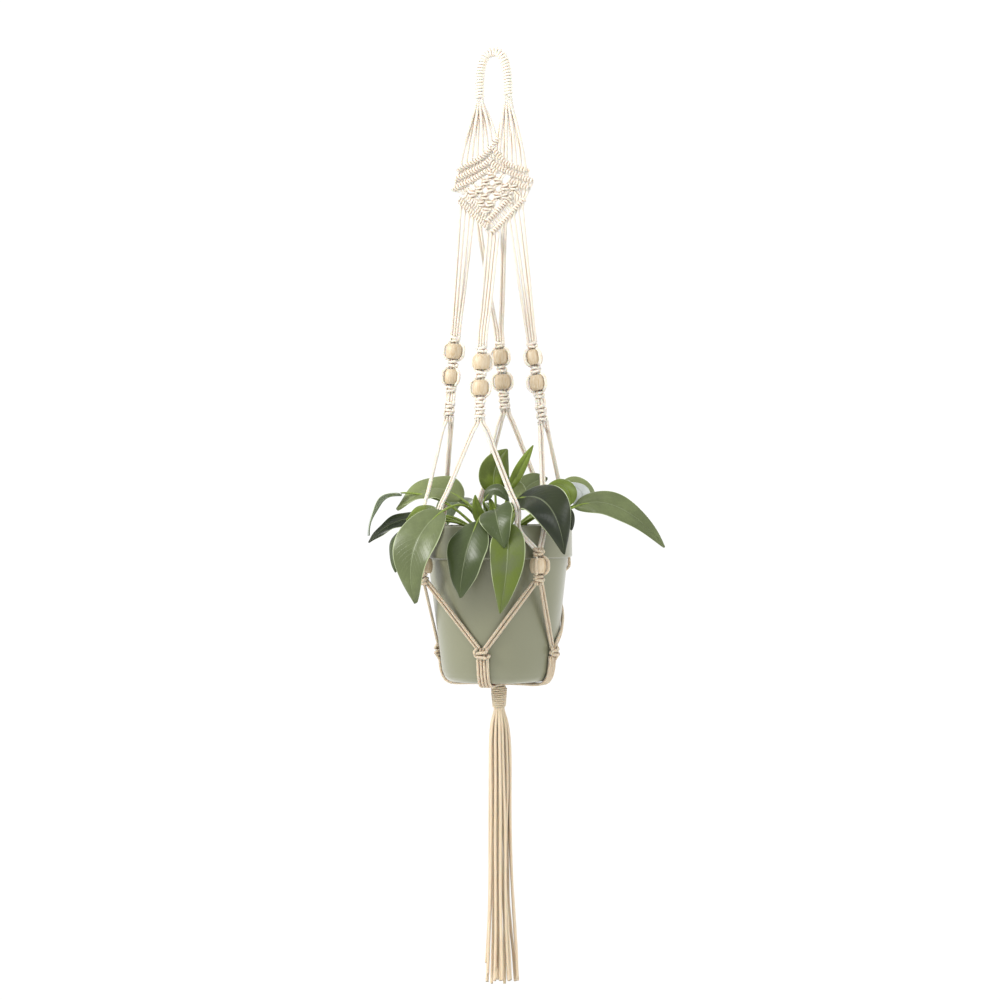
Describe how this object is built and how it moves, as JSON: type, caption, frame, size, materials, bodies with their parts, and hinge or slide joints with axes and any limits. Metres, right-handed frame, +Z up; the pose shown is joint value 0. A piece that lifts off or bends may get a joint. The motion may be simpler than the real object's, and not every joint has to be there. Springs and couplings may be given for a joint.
{
  "type": "hanging macrame planter",
  "caption": "Knotted cotton plant hanger with a wrapped loop, a diamond panel, wooden beads and a tassel, holding a tapered pot with a leafy plant.",
  "frame": {"origin": "inside top of the hanging loop, where a hook bears", "axes": "+Z up, -Y towards the front of the diamond panel, +X to its right seen from the front"},
  "size_m": [0.3316, 0.2467, 1.0499],
  "materials": {
    "cotton_cord": "twisted natural cotton cord, matt",
    "tassel_cotton": "twisted natural cotton cord, matt, slightly darker",
    "bead_wood": "smooth pale turned wood, lightly waxed",
    "pot_body": "satin sage green",
    "potting_soil": "dark loose compost",
    "leaf": "waxy leaves, dark above and paler below"
  },
  "bodies": {
    "hanger": {"loop_wrapping": "cotton_cord", "loop_core_cords": "cotton_cord", "fan_left": "cotton_cord", "fan_right": "cotton_cord", "hitch_row_upper_left_1": "cotton_cord", "hitch_row_upper_left_2": "cotton_cord", "hitch_row_upper_left_3": "cotton_cord", "hitch_row_upper_right_1": "cotton_cord", "hitch_row_upper_right_2": "cotton_cord", "hitch_row_upper_right_3": "cotton_cord", "hitch_row_lower_left_1": "cotton_cord", "hitch_row_lower_left_2": "cotton_cord", "hitch_row_lower_right_1": "cotton_cord", "hitch_row_lower_right_2": "cotton_cord", "diamond_lattice": "cotton_cord", "strand_left": "cotton_cord", "strand_front": "cotton_cord", "strand_back": "cotton_cord", "strand_right": "cotton_cord", "sinnet_left": "cotton_cord", "sinnet_front": "cotton_cord", "sinnet_back": "cotton_cord", "sinnet_right": "cotton_cord", "arm_pairs_left": "cotton_cord", "arm_pairs_front": "cotton_cord", "arm_pairs_back": "cotton_cord", "arm_pairs_right": "cotton_cord", "rim_knots_front_right": "cotton_cord", "rim_knots_back_right": "cotton_cord", "rim_knots_back_left": "cotton_cord", "rim_knots_front_left": "cotton_cord", "net_pairs_front_right": "cotton_cord", "net_pairs_back_right": "cotton_cord", "net_pairs_back_left": "cotton_cord", "net_pairs_front_left": "cotton_cord", "base_cords_left": "cotton_cord", "base_cords_front": "cotton_cord", "base_cords_back": "cotton_cord", "base_cords_right": "cotton_cord", "gather_core_cords": "cotton_cord", "gather_wrapping": "cotton_cord"},
    "tassel_neck": {"tassel_neck": "tassel_cotton"},
    "tassel": {"tassel_cords": "tassel_cotton"},
    "pot": {"pot": "pot_body", "soil": "potting_soil", "plant": "leaf"},
    "bead_left_upper": {"bead_left_upper": "bead_wood"},
    "bead_left_lower": {"bead_left_lower": "bead_wood"},
    "bead_front_upper": {"bead_front_upper": "bead_wood"},
    "bead_front_lower": {"bead_front_lower": "bead_wood"},
    "bead_back_upper": {"bead_back_upper": "bead_wood"},
    "bead_back_lower": {"bead_back_lower": "bead_wood"},
    "bead_right_upper": {"bead_right_upper": "bead_wood"},
    "bead_right_lower": {"bead_right_lower": "bead_wood"},
    "bead_rim_front_right": {"bead_rim_front_right": "bead_wood"},
    "bead_rim_back_right": {"bead_rim_back_right": "bead_wood"},
    "bead_rim_back_left": {"bead_rim_back_left": "bead_wood"},
    "bead_rim_front_left": {"bead_rim_front_left": "bead_wood"}
  },
  "joints": [
    {"name": "pot_lift", "type": "slide", "parent": "hanger", "child": "pot", "axis": [0, 0, 1], "range_m": [0, 0.01]},
    {"name": "tassel_sway", "type": "hinge", "parent": "hanger", "child": "tassel_neck", "pos_m": [0, 0, -0.736], "axis": [0, 1, 0], "range_deg": [-12, 12]},
    {"name": "tassel_swing", "type": "hinge", "parent": "tassel_neck", "child": "tassel", "pos_m": [0, 0, -0.736], "axis": [1, 0, 0], "range_deg": [-25, 25]},
    {"name": "bead_left_upper_spin", "type": "hinge", "parent": "hanger", "child": "bead_left_upper", "pos_m": [-0.0488, 0, -0.329], "axis": [0.0955, 0, 0.9954], "continuous": true},
    {"name": "bead_left_lower_spin", "type": "hinge", "parent": "hanger", "child": "bead_left_lower", "pos_m": [-0.05154, 0, -0.35757], "axis": [0.0955, 0, 0.9954], "continuous": true},
    {"name": "bead_front_upper_spin", "type": "hinge", "parent": "hanger", "child": "bead_front_upper", "pos_m": [-0.004, -0.047, -0.345], "axis": [0.0138, 0.0968, 0.9952], "continuous": true},
    {"name": "bead_front_lower_spin", "type": "hinge", "parent": "hanger", "child": "bead_front_lower", "pos_m": [-0.0044, -0.04978, -0.37356], "axis": [0.0138, 0.0968, 0.9952], "continuous": true},
    {"name": "bead_back_upper_spin", "type": "hinge", "parent": "hanger", "child": "bead_back_upper", "pos_m": [-0.007, 0.047, -0.333], "axis": [-0.0504, -0.1038, 0.9933], "continuous": true},
    {"name": "bead_back_lower_spin", "type": "hinge", "parent": "hanger", "child": "bead_back_lower", "pos_m": [-0.00555, 0.04998, -0.36151], "axis": [-0.0504, -0.1038, 0.9933], "continuous": true},
    {"name": "bead_right_upper_spin", "type": "hinge", "parent": "hanger", "child": "bead_right_upper", "pos_m": [0.044, 0, -0.338], "axis": [-0.1326, 0, 0.9912], "continuous": true},
    {"name": "bead_right_lower_spin", "type": "hinge", "parent": "hanger", "child": "bead_right_lower", "pos_m": [0.04781, 0, -0.36645], "axis": [-0.1326, 0, 0.9912], "continuous": true},
    {"name": "bead_rim_front_right_spin", "type": "hinge", "parent": "hanger", "child": "bead_rim_front_right", "pos_m": [0.06384, -0.06846, -0.5685], "axis": [0, 0, 1], "continuous": true},
    {"name": "bead_rim_back_right_spin", "type": "hinge", "parent": "hanger", "child": "bead_rim_back_right", "pos_m": [0.05234, 0.0776, -0.5685], "axis": [0, 0, 1], "continuous": true},
    {"name": "bead_rim_back_left_spin", "type": "hinge", "parent": "hanger", "child": "bead_rim_back_left", "pos_m": [-0.06618, 0.06618, -0.5685], "axis": [0, 0, 1], "continuous": true},
    {"name": "bead_rim_front_left_spin", "type": "hinge", "parent": "hanger", "child": "bead_rim_front_left", "pos_m": [-0.06618, -0.06618, -0.5685], "axis": [0, 0, 1], "continuous": true}
  ]
}
